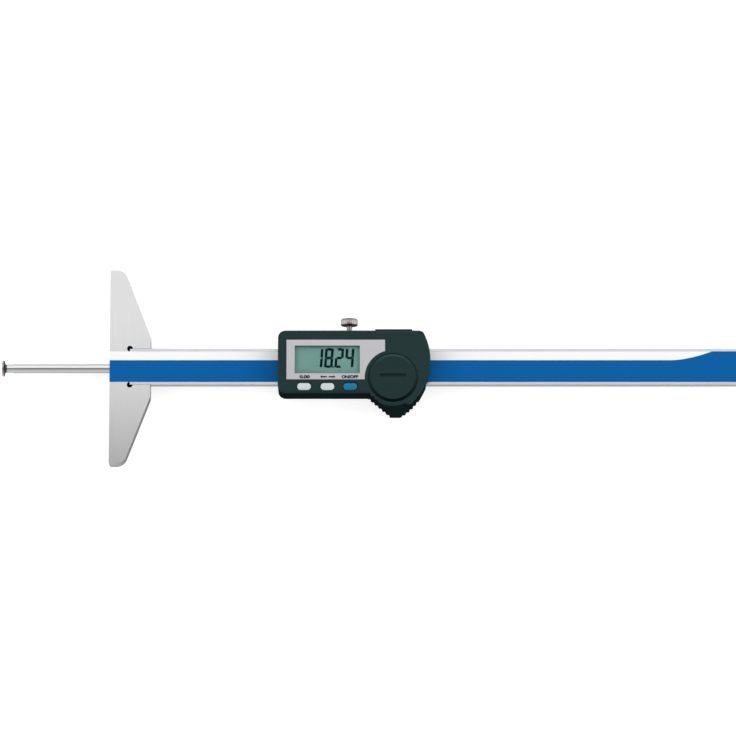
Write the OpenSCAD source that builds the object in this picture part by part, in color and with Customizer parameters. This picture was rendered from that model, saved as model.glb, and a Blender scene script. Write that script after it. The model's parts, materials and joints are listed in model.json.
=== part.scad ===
// Digital depth gauge: a bridge base on the end of a beam, a display slider, and a depth rod
// with a disc tip that runs in the beam's back and through the base.
// It lies on its back: X runs along the beam, Y across it and Z out of the display.
// x = 0 is the measuring face, y = 0 the beam's centre line, z = 0 the rear plane.

/* [Base] */
// Length of the base, across the beam
base_length = 100; // [80:1:130]
// Width of the base along the beam, at its waist
base_width = 20.7; // [18:0.1:26]
// Thickness of the base, and the height of the beam's front face
base_thickness = 10; // [9.6:0.1:12]
// Width of each wing at its outer end
wing_end_width = 7.4; // [5.5:0.1:10]
// Distance from the centre line to where a wing's slanted edge reaches the waist
waist_half = 15.6; // [14:0.1:20]
// Radius of each wing's outer corner
wing_corner = 5.8; // [1:0.1:6]
// Radius where the slanted edge meets the waist
waist_corner = 6.5; // [1:0.1:8]

/* [Beam] */
// Length of the beam, from its seat in the base
beam_length = 310; // [250:1:360]
// Width of the beam
beam_width = 18.6; // [17.6:0.1:19.4]
// Thickness of the beam
beam_thickness = 5.4; // [5:0.1:6]
// Distance from the measuring face to the end of the beam
beam_seat = 10.3; // [8:0.1:12]
// Width of the scale strip and of the label over it
scale_width = 15.72; // [13:0.02:16]
// Thickness of the scale strip
scale_thickness = 0.8; // [0.5:0.05:1]
// Thickness of the label film
label_thickness = 0.12; // [0.05:0.01:0.2]
// Height of the blue band, from the label's lower edge
blue_height = 11.17; // [8:0.01:12]
// Length of the all-blue end of the label
blue_end = 13.4; // [5:0.1:30]
// Length over which the blue band climbs to the label's upper edge
blue_climb = 20.4; // [10:0.1:40]

/* [Depth rod] */
// Diameter of the depth rod
rod_diameter = 4.6; // [4.4:0.1:5]
// Depth of the rod's axis below the beam's front face
rod_depth = 5.1; // [4.9:0.05:5.3]
// Distance of the disc's outer face from the measuring face, as shown
rod_reach = 54.7; // [20:0.1:90]
// Diameter of the disc tip
disc_diameter = 8.3; // [8:0.1:9.7]
// Thickness of the disc tip
disc_thickness = 1.4; // [0.8:0.1:2]
// Diameter of the rod's neck behind the disc
neck_diameter = 4.2; // [3.4:0.1:4.6]
// Length of that neck
neck_length = 3.5; // [2:0.1:6]

/* [Slider] */
// Distance from the measuring face to the display housing, as shown
slider_x = 85.6; // [60:0.1:120]
// Length of the housing along the beam
case_length = 77.2; // [76.6:0.1:84]
// Height of the housing's top edge above the centre line
case_top = 17.05; // [16.6:0.05:18]
// Depth of the housing's bottom edge below the centre line
case_bottom = 15.2; // [15.2:0.1:16]
// Height of the housing's front above the beam's front
case_rise = 9.2; // [9:0.1:10]
// Radius of the housing's left corners
case_corner = 3.7; // [2.4:0.1:4]
// Radius of the housing's bulged right side
bulge_radius = 31.4; // [29:0.1:36]
// Height of that side's widest point above the centre line
bulge_level = 1.8; // [1:0.1:5]
// Depth of the thumb grip's tip below the centre line
grip_bottom = 25; // [23:0.1:27]
// Spacing of the grip's notches
notch_pitch = 2.5; // [1.8:0.1:3.5]

/* [Display and buttons] */
// Distance from the silver panel's right edge to the battery cover's axis
panel_gap = 4; // [3:0.1:6]
// Height of the silver panel
panel_height = 20.4; // [20:0.05:21.5]
// Distance from the display window to the ring round the battery cover
window_gap = 2.4; // [1.6:0.1:4]
// Height of the display window
window_height = 14.25; // [12:0.05:14.5]
// Length of a button, as a share of the window's length
button_share = 0.21; // [0.16:0.005:0.21]
// Height of a button
button_height = 3.6; // [2.6:0.1:3.7]
// Distance that a button goes down
button_travel = 0.5; // [0.3:0.05:0.6]

/* [Battery] */
// Diameter of the battery cover
cover_diameter = 24.4; // [23.6:0.1:25]
// Height of the battery cover above the housing's front
cover_rise = 0.6; // [0.2:0.1:1.2]
// Diameter of the coin cell
cell_diameter = 20; // [18:0.1:20.4]
// Thickness of the coin cell
cell_thickness = 3.2; // [2.5:0.1:3.2]

/* [Lock screw] */
// Diameter of the knurled head
lock_head_diameter = 8.7; // [7:0.1:10]
// Height of the knurled head
lock_head_height = 3.3; // [2.4:0.1:6]
// Diameter of the stem
lock_stem_diameter = 2.7; // [2:0.1:3]
// Length of bare stem between the housing and the head
lock_stem_bare = 4.7; // [2:0.05:6]

/* [Hidden] */
$fn = 64;

// How far a cut runs past the face that it opens, or a form runs into the one that carries it
cut = 1;
// Steps in each round corner of an outline, and in a long curved side
corner_steps = 6;
side_steps = 24;

// Clearances
screw_clear = 0.02; // round a screw in its own thread, or a pin in its hole
hole_clear = 0.15; // round a screw in a plain hole
rod_clear = 0.05; // round the rod in the base's guide bore, and round the lock screw's stem
slide_clear = 0.15; // between the beam's edges and what slides on them
loose_clear = 0.3; // between moving pieces that don't guide each other
lid_clear = 0.25; // round a button, and round the battery cover

// Levels, from the rear plane up
front_z = base_thickness;
beam_z = front_z - beam_thickness;
edge_z = beam_z + beam_thickness / 2;
label_z = front_z + label_thickness;
plate_top = beam_z - loose_clear;
board_gap = 0.4;
board_z = front_z + board_gap;

// Base, its screws and its pins
base_tip_corner = 0.9;
relief_radius = 1.5;
base_screw_radius = 1.25;
base_screw_head_radius = 2.4;
base_screw_head_height = 1.4;
base_screw_inset = 2.8;
dowel_radius = 1;
dowel_inset = 3;
dowel_sink = 0.3;
fixing_half = 6;
fixing_reach = 4;
fixing_top = beam_z + fixing_reach;
base_screw_x = base_width - base_screw_inset;
dowel_x = beam_seat + dowel_inset;

// Beam, label and end stop
beam_edge = 0.15;
scale_clear = 0.04;
label_margin = 1;
climb_power = 1.65;
climb_steps = 12;
label_end = beam_seat + beam_length - label_margin;
stop_length = 9;
stop_half = 6.5;
stop_thickness = 1;
stop_screw_half = 4.6;
stop_screw_radius = 0.9;
stop_screw_head_radius = 1.6;
stop_screw_head_height = 0.6;
stop_screw_reach = 2.4;
stop_x = label_end - stop_length;

// Depth rod, disc tip and their screws
rod_z = front_z - rod_depth;
rod_radius = rod_diameter / 2;
groove_half = rod_radius + loose_clear;
groove_top = rod_z + groove_half;
disc_hub_radius = 2;
disc_hub_length = 1;
disc_screw_radius = 1;
disc_screw_head_radius = 1.9;
disc_screw_head_height = 0.8;
disc_screw_reach = 7;
disc_screw_slot = 0.4;
cradle_length = 20;
rod_tail = 3;
rod_start = disc_thickness + disc_hub_length - rod_reach;
rod_end = slider_x + case_length - rod_tail;
rod_screw_radius = 1;
rod_screw_head_radius = 1.9;
rod_screw_head_height = 1;
rod_screw_inset = 5.5;
rod_screw_spacing = 9;
rod_screw_x = [rod_end - rod_screw_inset - rod_screw_spacing, rod_end - rod_screw_inset];

// Housing, in the slider's own x, from its left edge
side_wall = 1.2;
front_wall = 1.8;
case_bevel = 0.9;
case_back = 2;
case_front = front_z + case_rise;
case_inside = case_front - front_wall;
bevel_z = case_front - case_bevel;
front_overlap = 0.8;
bulge_mid = [case_length - bulge_radius, bulge_level];
bulge_corner = 3;
shoulder_bottom = 21.5;
shoulder_angle = -75;
shoulder_sink = 2;
frame_inset = side_wall + loose_clear;
board_inset = frame_inset + loose_clear;
passage_clear = 0.4;

// Battery pocket, cover and contacts
cover_from_right = 19;
cover_x = case_length - cover_from_right;
cover_y = -7.45;
cover_radius = cover_diameter / 2;
ring_width = 2.1;
ring_radius = cover_radius + ring_width;
cell_clear = 0.9;
pocket_radius = cell_diameter / 2 + cell_clear;
pocket_wall = 2.2;
pocket_floor = 0.8;
contact_thickness = 0.25;
cell_depth = 3;
cell_top = case_front - cell_depth;
cell_z = cell_top - cell_thickness;
pocket_z = cell_z - contact_thickness;
contact_radius = 4;
contact_leg_radius = 0.4;
plus_thickness = 0.6;
plus_start = 110;
plus_angle = 24;
plus_leg_at = pocket_radius - plus_thickness / 2;
plus_leg_angle = plus_start + plus_angle / 2;
plus_leg = [cover_x, cover_y] + plus_leg_at * [cos(plus_leg_angle), sin(plus_leg_angle)];
plus_leg_radius = 0.25;
cover_seat = 1.7;
cover_gap = 0.2;
cover_z = case_front - cover_seat + cover_gap;
cover_top = case_front + cover_rise;
cover_slope_width = 1.2;
cover_slope_fall = 0.6;
spigot_gap = 0.1;
spigot_z = cell_top + spigot_gap;
spigot_radius = pocket_radius - loose_clear;
ledge_thickness = 0.6;
ledge_z = case_front - cover_seat - ledge_thickness;
lug_depth = 1.1;
lug_gap = 0.1;
lug_thickness = 0.4;
lug_radius = pocket_radius + lug_depth - loose_clear;
lug_z = ledge_z - lug_gap - lug_thickness;
lug_angle = 34;
lug_gate_angle = 46;
lug_turn = 60;
seal_radius = 0.4;
seal_gap = 0.05;
seal_lift = 0.6;
seal_z = cover_z + seal_lift;
seal_ring_radius = cover_radius + lid_clear - seal_gap - seal_radius;
seal_groove = seal_radius + screw_clear;
coin_slot_length = 13;
coin_slot_width = 1.4;
coin_slot_depth = 0.8;
coin_slot_lift = 1.2;

// Thumb grip
grip_proud = 0.1;
grip_lead = 12.8;
grip_tip_shift = 1.1;
grip_tip_half = 2.4;
grip_flare = 3.6;
grip_cavity_inset = 1.9;
notch_radius = 0.9;
notch_offset = 0.35;
notch_last_angle = -37;
notch_margin = 5;

// Panel, window and display glass
panel_x = 4.4;
panel_length = cover_x - panel_gap - panel_x;
panel_top = 4.95;
panel_thickness = 0.4;
panel_z = case_front - panel_thickness;
window_x = 8.5;
window_length = cover_x - ring_radius - window_gap - window_x;
window_top = 3.05;
window_rim = 1.2;
window_thickness = 0.9;
window_z = panel_z - window_thickness;
window_mid = [window_x + window_length / 2, case_top - panel_top - window_top - window_height / 2];
glass_rim = 1.7;
glass_thickness = 1.8;
glass_z = case_inside - glass_thickness;
connector_width = 1.6;
chip_size = 7;
chip_thickness = 1.2;

// Board and buttons
board_thickness = 1.2;
board_top = board_z + board_thickness;
button_length = button_share * window_length;
button_place_shares = [0.145, 0.503, 0.852];
button_x = [for (share = button_place_shares) window_x + share * window_length];
button_y = -12.05;
button_rise = 0.7;
button_ear = 1.1;
button_ear_trim = 0.2;
button_ear_thickness = 1;
button_play = 0.1;
button_stem_radius = 0.9;
button_stem_clear = 1.7;
membrane_thickness = 0.6;
membrane_margin = 3;
membrane_low = 1.4;
membrane_height = 4.2;
dome_radius = 1.1;
dome_clear = 0.2;
stem_bottom = board_top + membrane_thickness + button_stem_clear;
ear_z = case_inside - button_play - button_ear_thickness;

// Frame, gib and screws
rail_inner = beam_width / 2 + slide_clear;
gib_thickness = 1.2;
gib_gap = 0.1;
gib_lift = 0.6;
gib_x = 6.2;
gib_length = case_length - 2 * gib_x;
rail_pocket = rail_inner + gib_thickness + gib_gap;
gib_screw_radius = 1.25;
gib_screw_length = 4.2;
gib_screw_inset = 9;
gib_screw_x = [gib_x + gib_screw_inset, gib_x + gib_length - gib_screw_inset];
case_screw_radius = 1;
case_screw_head_radius = 1.9;
case_screw_head_height = 1.2;
case_screw_sink = 0.2;
boss_radius = 1.9;
boss_depth = 4;
rail_top_mid = (rail_pocket + case_top - frame_inset) / 2;
rail_low_mid = (frame_inset - rail_inner - case_bottom) / 2;
case_screw_left = 5.4;
case_screw_right = 9.3;
case_screw_lead = 14.5;
case_screw_at = [
    [case_screw_left, rail_top_mid], [case_length - case_screw_right, rail_top_mid],
    [case_screw_left, rail_low_mid], [cover_x - case_screw_lead, rail_low_mid]
];

// Lock screw and pad
lock_from_cover = 22.1;
lock_x = cover_x - lock_from_cover;
lock_radius = lock_stem_diameter / 2;
lock_hole_clear = 0.35;
lock_head_chamfer = 0.6;
knurl_count = 40;
knurl_depth_share = 0.06;
knurl_margin = 0.05;
pad_gap = 0.3;
pad_length = 1.65;
stem_gap = 0.05;
pad_y = beam_width / 2 + pad_gap;
stem_y = pad_y + pad_length + stem_gap;
head_y = case_top + lock_stem_bare;

// Data port and its cover
port_lead = 9;
port_x = cover_x - port_lead;
port_length = 18.8;
port_rise = 0.75;
port_lift = 0.05;
port_back = 2;
port_front = 1.2;
port_travel = 9;
port_hole_lead = 10.4;
port_hole_x = port_x + port_hole_lead;
port_hole_length = 6.8;
port_hole_height = 2.2;
port_hole_lift = 0.4;
port_hole_z = board_top + port_hole_lift;
tongue_lead = 9.2;
tongue_x = port_x + tongue_lead;
tongue_length = 3;
tongue_width = 1;
tongue_drop = 1.6;
tongue_z = case_inside - tongue_drop;
foot_length = 6;
foot_width = 2;
foot_thickness = 0.5;
foot_gap = 0.2;
pin_count = 4;
pin_pitch = 1.6;
pin_width = 0.6;
pin_length = 2;
pin_height = 1.9;

// Colours
ground_steel = [0.84, 0.85, 0.86];
bright_steel = [0.78, 0.79, 0.8];
screw_steel = [0.55, 0.55, 0.57];
case_green = [0.14, 0.2, 0.2];
button_white = [0.88, 0.9, 0.9];

// Outlines and shared shapes

// Points of a circular arc about centre, from angle a to angle b
function arc(centre, r, a, b, steps, first = 0) =
    [for (i = [first:steps]) let (t = a + (b - a) * i / steps) centre + r * [cos(t), sin(t)]];

// Points of the round of radius r that replaces corner b between a and c
function corner_arc(a, b, c, r) =
    let (
        u = (a - b) / norm(a - b),
        v = (c - b) / norm(c - b),
        half = acos(u * v) / 2,
        centre = b + (u + v) / norm(u + v) * r / sin(half),
        from = b + u * r / tan(half) - centre,
        to = b + v * r / tan(half) - centre,
        start = atan2(from.y, from.x),
        turn = (atan2(to.y, to.x) - start + 540) % 360 - 180
    )
    arc(centre, r, start, start + turn, corner_steps);

// Closed outline through corners, each [x, y, radius]
function rounded(corners) =
    let (n = len(corners), at = [for (c = corners) [c.x, c.y]])
    [for (i = [0:n - 1]) each corner_arc(at[(i + n - 1) % n], at[i], at[(i + 1) % n], corners[i].z)];

// Outline with two half-round ends
function stadium(length, height) =
    let (r = height / 2, reach = (length - height) / 2)
    concat(arc([reach, 0], r, -90, 90, corner_steps), arc([-reach, 0], r, 90, 270, corner_steps));

// The housing's outline without the grip, drawn in by inset
function case_outline(inset) =
    let (
        r = case_corner - inset,
        low = asin((inset - case_bottom - bulge_level) / (bulge_radius - inset)),
        turn = asin((case_top - bulge_corner - bulge_level) / (bulge_radius - bulge_corner))
    )
    concat(
        arc([case_corner, case_corner - case_bottom], r, 180, 270, corner_steps),
        arc(bulge_mid, bulge_radius - inset, low, turn, side_steps),
        arc(
            bulge_mid + (bulge_radius - bulge_corner) * [cos(turn), sin(turn)], bulge_corner - inset,
            turn, 90, corner_steps, 1
        ),
        arc([case_corner, case_top - case_corner], r, 90, 180, corner_steps)
    );

// The shoulder below and beside the battery cover, from the cover's middle to the bulge, drawn in by inset
function shoulder_outline(inset) =
    let (
        r = bulge_radius - inset,
        low = asin((inset - shoulder_bottom - bulge_level) / r),
        high = asin((inset - case_bottom - bulge_level) / r)
    )
    concat(
        [[cover_x, cover_y]],
        [[cover_x, cover_y] + (ring_radius - shoulder_sink) * [cos(shoulder_angle), sin(shoulder_angle)]],
        arc(bulge_mid, r, low, high, side_steps)
    );

// The thumb grip's outline, from inside the housing down to its tip
grip_start = [cover_x - grip_lead, -case_bottom];
grip_tip = [cover_x + grip_tip_shift - grip_tip_half, -grip_bottom];
grip_side = bulge_radius + grip_proud;
grip_low = asin((-grip_bottom - bulge_level) / grip_side);
grip_outline = concat(
    [[grip_start.x, cover_y], grip_start, grip_tip],
    arc(bulge_mid, grip_side, grip_low, notch_last_angle + notch_margin, side_steps),
    [[cover_x, cover_y]]
);

// Moves what belongs to the slider to where the slider stands
module on_slider() {
    translate([slider_x, 0, 0]) children();
}

// Extrudes an outline in y and z along x
module along_x(x, length) {
    translate([x, 0, 0]) rotate([90, 0, 90]) linear_extrude(height = length) children();
}

// Cylinder along x from x to x + length, on the rod's axis
module rod_cylinder(x, length, r) {
    translate([x, 0, rod_z]) rotate([0, 90, 0]) cylinder(r = r, h = length);
}

// Cylinder along y from y to y + length, at the level of the beam's edges
module edge_cylinder(x, y, length, r) {
    translate([x, y, edge_z]) rotate([-90, 0, 0]) cylinder(r = r, h = length);
}

// Block centred on y = 0, from x to x + length and from z to top
module middle_block(x, length, half, z, top) {
    translate([x, -half, z]) cube([length, 2 * half, top - z]);
}

// Slab of an outline between two levels
module slab(points, z, top) {
    translate([0, 0, z]) linear_extrude(height = top - z) polygon(points);
}

// Countersunk screw that points up from its head's face at z = 0
module countersunk(r, head_r, head_height, length) {
    cylinder(r1 = head_r, r2 = r, h = head_height);
    cylinder(r = r, h = length);
}

// Hole for that screw, open below its head
module countersink(r, head_r, head_height, length, clear) {
    countersunk(r + clear, head_r + screw_clear, head_height, length);
    translate([0, 0, -cut]) cylinder(r = head_r + screw_clear, h = cut);
}

// Ring sector between two radii and two levels, starting at angle start
module sector(r, outer, z, top, start, angle) {
    translate([cover_x, cover_y, z]) rotate([0, 0, start])
        rotate_extrude(angle = angle) translate([r, 0]) square([outer - r, top - z]);
}

// Cylinder on the battery cover's axis between two levels
module battery_cylinder(r, z, top) {
    translate([cover_x, cover_y, z]) cylinder(r = r, h = top - z);
}

// Cone on the same axis
module battery_cone(r, top_r, z, top) {
    translate([cover_x, cover_y, z]) cylinder(r1 = r, r2 = top_r, h = top - z);
}

// Places of the screws and pins that hold the beam in the base
module at_base_screws() {
    for (side = [-1, 1]) translate([base_screw_x, side * fixing_half, 0]) children();
}

module at_dowels() {
    for (side = [-1, 1]) translate([dowel_x, side * fixing_half, 0]) children();
}

// Places of the end stop's screws, on its back face
module at_stop_screws() {
    for (side = [-1, 1])
        translate([stop_x + stop_length / 2, side * stop_screw_half, beam_z - stop_thickness]) children();
}

// Places of the screws that hold the rod in the slider frame
module at_rod_screws() {
    for (x = rod_screw_x) translate([x, 0, 0]) children();
}

// Places of the screws that hold the housing on the slider frame
module at_case_screws() {
    for (at = case_screw_at) translate([at.x, at.y, 0]) children();
}

// Base and what joins it to the beam

module base() color(ground_steel) {
    difference() {
        slab(rounded([
            [0, base_length / 2, base_tip_corner],
            [0, -base_length / 2, base_tip_corner],
            [wing_end_width, -base_length / 2, wing_corner],
            [base_width, -waist_half, waist_corner],
            [base_width, waist_half, waist_corner],
            [wing_end_width, base_length / 2, wing_corner]
        ]), 0, front_z);
        middle_block(beam_seat, base_width, beam_width / 2, beam_z, front_z + cut);
        rod_cylinder(-cut, beam_seat + 2 * cut, rod_radius + rod_clear);
        middle_block(beam_seat, base_width, groove_half, rod_z - groove_half, front_z);
        for (side = [-1, 1])
            translate([beam_seat, side * beam_width / 2, beam_z]) cylinder(r = relief_radius, h = front_z);
        at_base_screws()
            countersink(base_screw_radius, base_screw_head_radius, base_screw_head_height,
                        front_z, screw_clear);
        at_dowels() translate([0, 0, -cut]) cylinder(r = dowel_radius + screw_clear, h = front_z);
    }
}

module base_screws() color(screw_steel) {
    at_base_screws()
        countersunk(base_screw_radius, base_screw_head_radius, base_screw_head_height, fixing_top);
}

module dowel_pins() color(bright_steel) {
    at_dowels() translate([0, 0, dowel_sink]) cylinder(r = dowel_radius, h = fixing_top - dowel_sink);
}

// Beam, scale and label

module beam_section() {
    half = beam_width / 2;
    scale_half = scale_width / 2 + scale_clear;
    scale_z = front_z - scale_thickness;
    polygon([
        [beam_edge - half, beam_z], [-groove_half, beam_z], [-groove_half, groove_top],
        [groove_half, groove_top], [groove_half, beam_z], [half - beam_edge, beam_z],
        [half, beam_z + beam_edge], [half, front_z - beam_edge], [half - beam_edge, front_z],
        [scale_half, front_z], [scale_half, scale_z], [-scale_half, scale_z], [-scale_half, front_z],
        [beam_edge - half, front_z], [-half, front_z - beam_edge], [-half, beam_z + beam_edge]
    ]);
}

module beam() color(bright_steel) {
    difference() {
        along_x(beam_seat, beam_length) beam_section();
        at_base_screws() cylinder(r = base_screw_radius + screw_clear, h = fixing_top + screw_clear);
        at_dowels() cylinder(r = dowel_radius + screw_clear, h = fixing_top + screw_clear);
        at_stop_screws() cylinder(r = stop_screw_radius + screw_clear, h = stop_thickness + stop_screw_reach);
    }
}

module scale_strip() color([0.3, 0.42, 0.3]) {
    middle_block(beam_seat, label_end - beam_seat, scale_width / 2, front_z - scale_thickness, front_z);
}

// Border between the label's two colours, from the base to where the blue fills the label
climb_start = label_end - blue_end - blue_climb;
band_level = blue_height - scale_width / 2;
border = concat(
    [[0, band_level]],
    [for (i = [0:climb_steps])
        let (t = i / climb_steps)
        [climb_start + t * blue_climb, band_level + (scale_width - blue_height) * pow(t, climb_power)]]
);

module label_white() color([0.96, 0.96, 0.96]) {
    slab(concat(border, [[0, scale_width / 2]]), front_z, label_z);
}

module label_blue() color([0.06, 0.38, 0.65]) {
    slab(concat(
        border,
        [[label_end, scale_width / 2], [label_end, -scale_width / 2], [0, -scale_width / 2]]
    ), front_z, label_z);
}

module end_stop() color(screw_steel) {
    difference() {
        middle_block(stop_x, stop_length, stop_half, beam_z - stop_thickness, beam_z);
        at_stop_screws() countersink(stop_screw_radius, stop_screw_head_radius, stop_screw_head_height,
                                     stop_thickness + cut, screw_clear);
    }
}

module end_stop_screws() color(screw_steel) {
    at_stop_screws() countersunk(stop_screw_radius, stop_screw_head_radius, stop_screw_head_height,
                                 stop_thickness + stop_screw_reach - screw_clear);
}

// Depth rod and disc tip

module depth_rod() color(bright_steel) {
    difference() {
        union() {
            rod_cylinder(rod_start, neck_length + cut, neck_diameter / 2);
            rod_cylinder(rod_start + neck_length, rod_end - rod_start - neck_length, rod_radius);
        }
        rod_cylinder(rod_start - cut, disc_screw_reach, disc_screw_radius + screw_clear);
        at_rod_screws() cylinder(r = rod_screw_radius + screw_clear, h = rod_z + rod_screw_radius);
    }
}

module measuring_disc() color([0.45, 0.42, 0.4]) {
    difference() {
        union() {
            rod_cylinder(-rod_reach, disc_thickness, disc_diameter / 2);
            rod_cylinder(-rod_reach, disc_thickness + disc_hub_length, disc_hub_radius);
        }
        translate([-rod_reach, 0, rod_z]) rotate([0, 90, 0])
            countersink(disc_screw_radius, disc_screw_head_radius, disc_screw_head_height,
                        disc_thickness + disc_hub_length + cut, screw_clear);
    }
}

module disc_screw() color(screw_steel) {
    difference() {
        translate([-rod_reach, 0, rod_z]) rotate([0, 90, 0])
            countersunk(disc_screw_radius, disc_screw_head_radius, disc_screw_head_height, disc_screw_reach);
        translate([-rod_reach - cut, -disc_screw_head_radius, rod_z - disc_screw_slot / 2])
            cube([cut + disc_screw_slot, 2 * disc_screw_head_radius, disc_screw_slot]);
    }
}

module rod_screws() color(screw_steel) {
    at_rod_screws() countersunk(rod_screw_radius, rod_screw_head_radius, rod_screw_head_height, rod_z);
}

// Slider frame and what guides it

module slider_frame() color(bright_steel) {
    difference() {
        on_slider() slab(case_outline(frame_inset), 0, board_z);
        on_slider() {
            middle_block(0, case_length, rail_inner, plate_top, board_z + cut);
            translate([gib_x, 0, plate_top]) cube([gib_length, rail_pocket, board_z + cut - plate_top]);
            at_case_screws() translate([0, 0, case_screw_sink])
                countersink(case_screw_radius, case_screw_head_radius, case_screw_head_height,
                            board_z + cut, hole_clear);
            for (x = gib_screw_x)
                edge_cylinder(x, 0, case_top, gib_screw_radius + screw_clear);
            edge_cylinder(lock_x, 0, case_top, lock_radius + rod_clear);
        }
        middle_block(slider_x, rod_end - cradle_length - slider_x, groove_half, rod_z - groove_half, board_z);
        rod_cylinder(slider_x, case_length, rod_radius + screw_clear);
        at_rod_screws()
            countersink(rod_screw_radius, rod_screw_head_radius, rod_screw_head_height, rod_z, hole_clear);
    }
}

module gib_strip() color([0.75, 0.6, 0.35]) {
    on_slider() difference() {
        translate([gib_x + gib_gap, rail_inner, plate_top + gib_lift])
            cube([gib_length - 2 * gib_gap, gib_thickness, board_z - plate_top - 2 * gib_lift]);
        edge_cylinder(lock_x, 0, case_top, lock_radius + hole_clear);
    }
}

module gib_screws() color(screw_steel) {
    on_slider() for (x = gib_screw_x)
        edge_cylinder(x, rail_inner + gib_thickness, gib_screw_length, gib_screw_radius);
}

// Board, display and buttons

module circuit_board() color([0.1, 0.35, 0.2]) {
    on_slider() difference() {
        slab(case_outline(board_inset), board_z, board_top);
        at_case_screws() cylinder(r = case_screw_radius + hole_clear, h = case_front);
    }
}

module controller_chip() color([0.08, 0.08, 0.09]) {
    on_slider() translate([window_mid.x - chip_size / 2, window_mid.y - chip_size / 2, board_top])
        cube([chip_size, chip_size, chip_thickness]);
}

// Plate centred behind the display window, larger than it by rim on each side
module window_plate(rim, z, top) {
    translate([window_x - rim, window_mid.y - window_height / 2 - rim, z])
        cube([window_length + 2 * rim, window_height + 2 * rim, top - z]);
}

module display_glass() color([0.5, 0.65, 0.6]) {
    on_slider() window_plate(glass_rim, glass_z, case_inside);
}

module display_connector() color([0.2, 0.2, 0.22]) {
    on_slider() translate([window_x, window_mid.y + window_height / 2 - connector_width, board_top])
        cube([window_length, connector_width, glass_z - board_top]);
}

module button_membrane() color([0.3, 0.3, 0.32]) {
    dome_height = membrane_thickness + button_stem_clear - button_travel - dome_clear;
    on_slider() {
        translate([button_x[0] - membrane_margin, button_y - membrane_low, board_top])
            cube([button_x[2] - button_x[0] + 2 * membrane_margin, membrane_height, membrane_thickness]);
        for (x = button_x)
            translate([x, button_y, board_top])
                cylinder(r1 = dome_radius, r2 = button_stem_radius, h = dome_height);
    }
}

module port_contacts() color([0.85, 0.7, 0.35]) {
    on_slider() for (i = [0:pin_count - 1])
        translate([port_hole_x + pin_pitch * (i + 0.5), case_top - board_inset - pin_length, board_top])
            cube([pin_width, pin_length, pin_height]);
}

// One push button with its guide ears and stem
module button(index) {
    ears = stadium(button_length + 2 * button_ear, button_height - button_ear_trim);
    on_slider() translate([button_x[index], button_y, 0]) {
        slab(stadium(button_length, button_height), ear_z, case_front + button_rise);
        slab(ears, ear_z, case_inside - button_play);
        translate([0, 0, stem_bottom]) cylinder(r = button_stem_radius, h = case_inside - stem_bottom);
    }
}

module button_set() color(button_white) {
    button(0);
}

module button_unit() color(button_white) {
    button(1);
}

module button_power() color([0.12, 0.5, 0.72]) {
    button(2);
}

// Battery, its contacts and its cover

module battery_cell() color([0.75, 0.76, 0.77]) {
    on_slider() battery_cylinder(cell_diameter / 2, cell_z, cell_top);
}

module contact_minus() color([0.85, 0.8, 0.6]) {
    on_slider() {
        battery_cylinder(contact_radius, pocket_z, cell_z);
        battery_cylinder(contact_leg_radius, board_top, pocket_z);
    }
}

module contact_plus() color([0.85, 0.8, 0.6]) {
    on_slider() {
        sector(pocket_radius - plus_thickness, pocket_radius, pocket_z, cell_top, plus_start, plus_angle);
        translate([plus_leg.x, plus_leg.y, board_top])
            cylinder(r = plus_leg_radius, h = pocket_z - board_top);
    }
}

module battery_cover() color(case_green) {
    on_slider() difference() {
        union() {
            battery_cylinder(cover_radius, cover_z, cover_top - cover_slope_fall);
            battery_cone(cover_radius, cover_radius - cover_slope_width, cover_top - cover_slope_fall,
                         cover_top);
            battery_cylinder(spigot_radius, spigot_z, cover_z);
            for (start = [0, 180])
                sector(spigot_radius - cut, lug_radius, lug_z, lug_z + lug_thickness,
                       start - lug_angle / 2, lug_angle);
        }
        translate([cover_x, cover_y, seal_z - seal_groove]) difference() {
            cylinder(r = cover_radius + cut, h = 2 * seal_groove);
            cylinder(r = seal_ring_radius - seal_groove, h = 2 * seal_groove);
        }
        translate([cover_x - coin_slot_length / 2, cover_y + coin_slot_lift - coin_slot_width / 2,
                   cover_top - coin_slot_depth])
            cube([coin_slot_length, coin_slot_width, coin_slot_depth + cut]);
    }
}

module cover_seal() color([0.1, 0.1, 0.1]) {
    on_slider() translate([cover_x, cover_y, seal_z])
        rotate_extrude() translate([seal_ring_radius, 0]) circle(r = seal_radius);
}

// Housing

// Solid block of the housing, with its bevelled front, its shoulder and its thumb grip with a sloped skirt
module case_block() {
    bevelled(case_outline(0), case_outline(case_bevel));
    difference() {
        union() {
            bevelled(shoulder_outline(0), shoulder_outline(case_bevel));
            intersection() {
                slab(grip_outline, case_back, case_front);
                union() {
                    battery_cone(ring_radius + grip_flare, ring_radius, case_back, bevel_z);
                    battery_cone(ring_radius, ring_radius - case_bevel, bevel_z, case_front);
                }
            }
        }
        grip_notches();
    }
}

// Block of the housing's thickness, whose outline draws in along the front bevel
module bevelled(outline, drawn_in) {
    hull() {
        slab(outline, case_back, bevel_z);
        slab(drawn_in, case_back, case_front);
    }
}

// Notches along both edges of the thumb grip
module grip_notches() {
    span = grip_tip - grip_start;
    u = span / norm(span);
    for (i = [0:floor(norm(span) / notch_pitch) - 1])
        notch(grip_start + u * notch_pitch * (i + 0.5) + notch_offset * [u.y, -u.x]);
    step = notch_pitch / grip_side * 180 / PI;
    for (a = [grip_low + step / 2:step:notch_last_angle])
        notch(bulge_mid + (grip_side + notch_offset) * [cos(a), sin(a)]);
}

module notch(at) {
    translate([at.x, at.y, case_back - cut]) cylinder(r = notch_radius, h = case_front);
}

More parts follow.
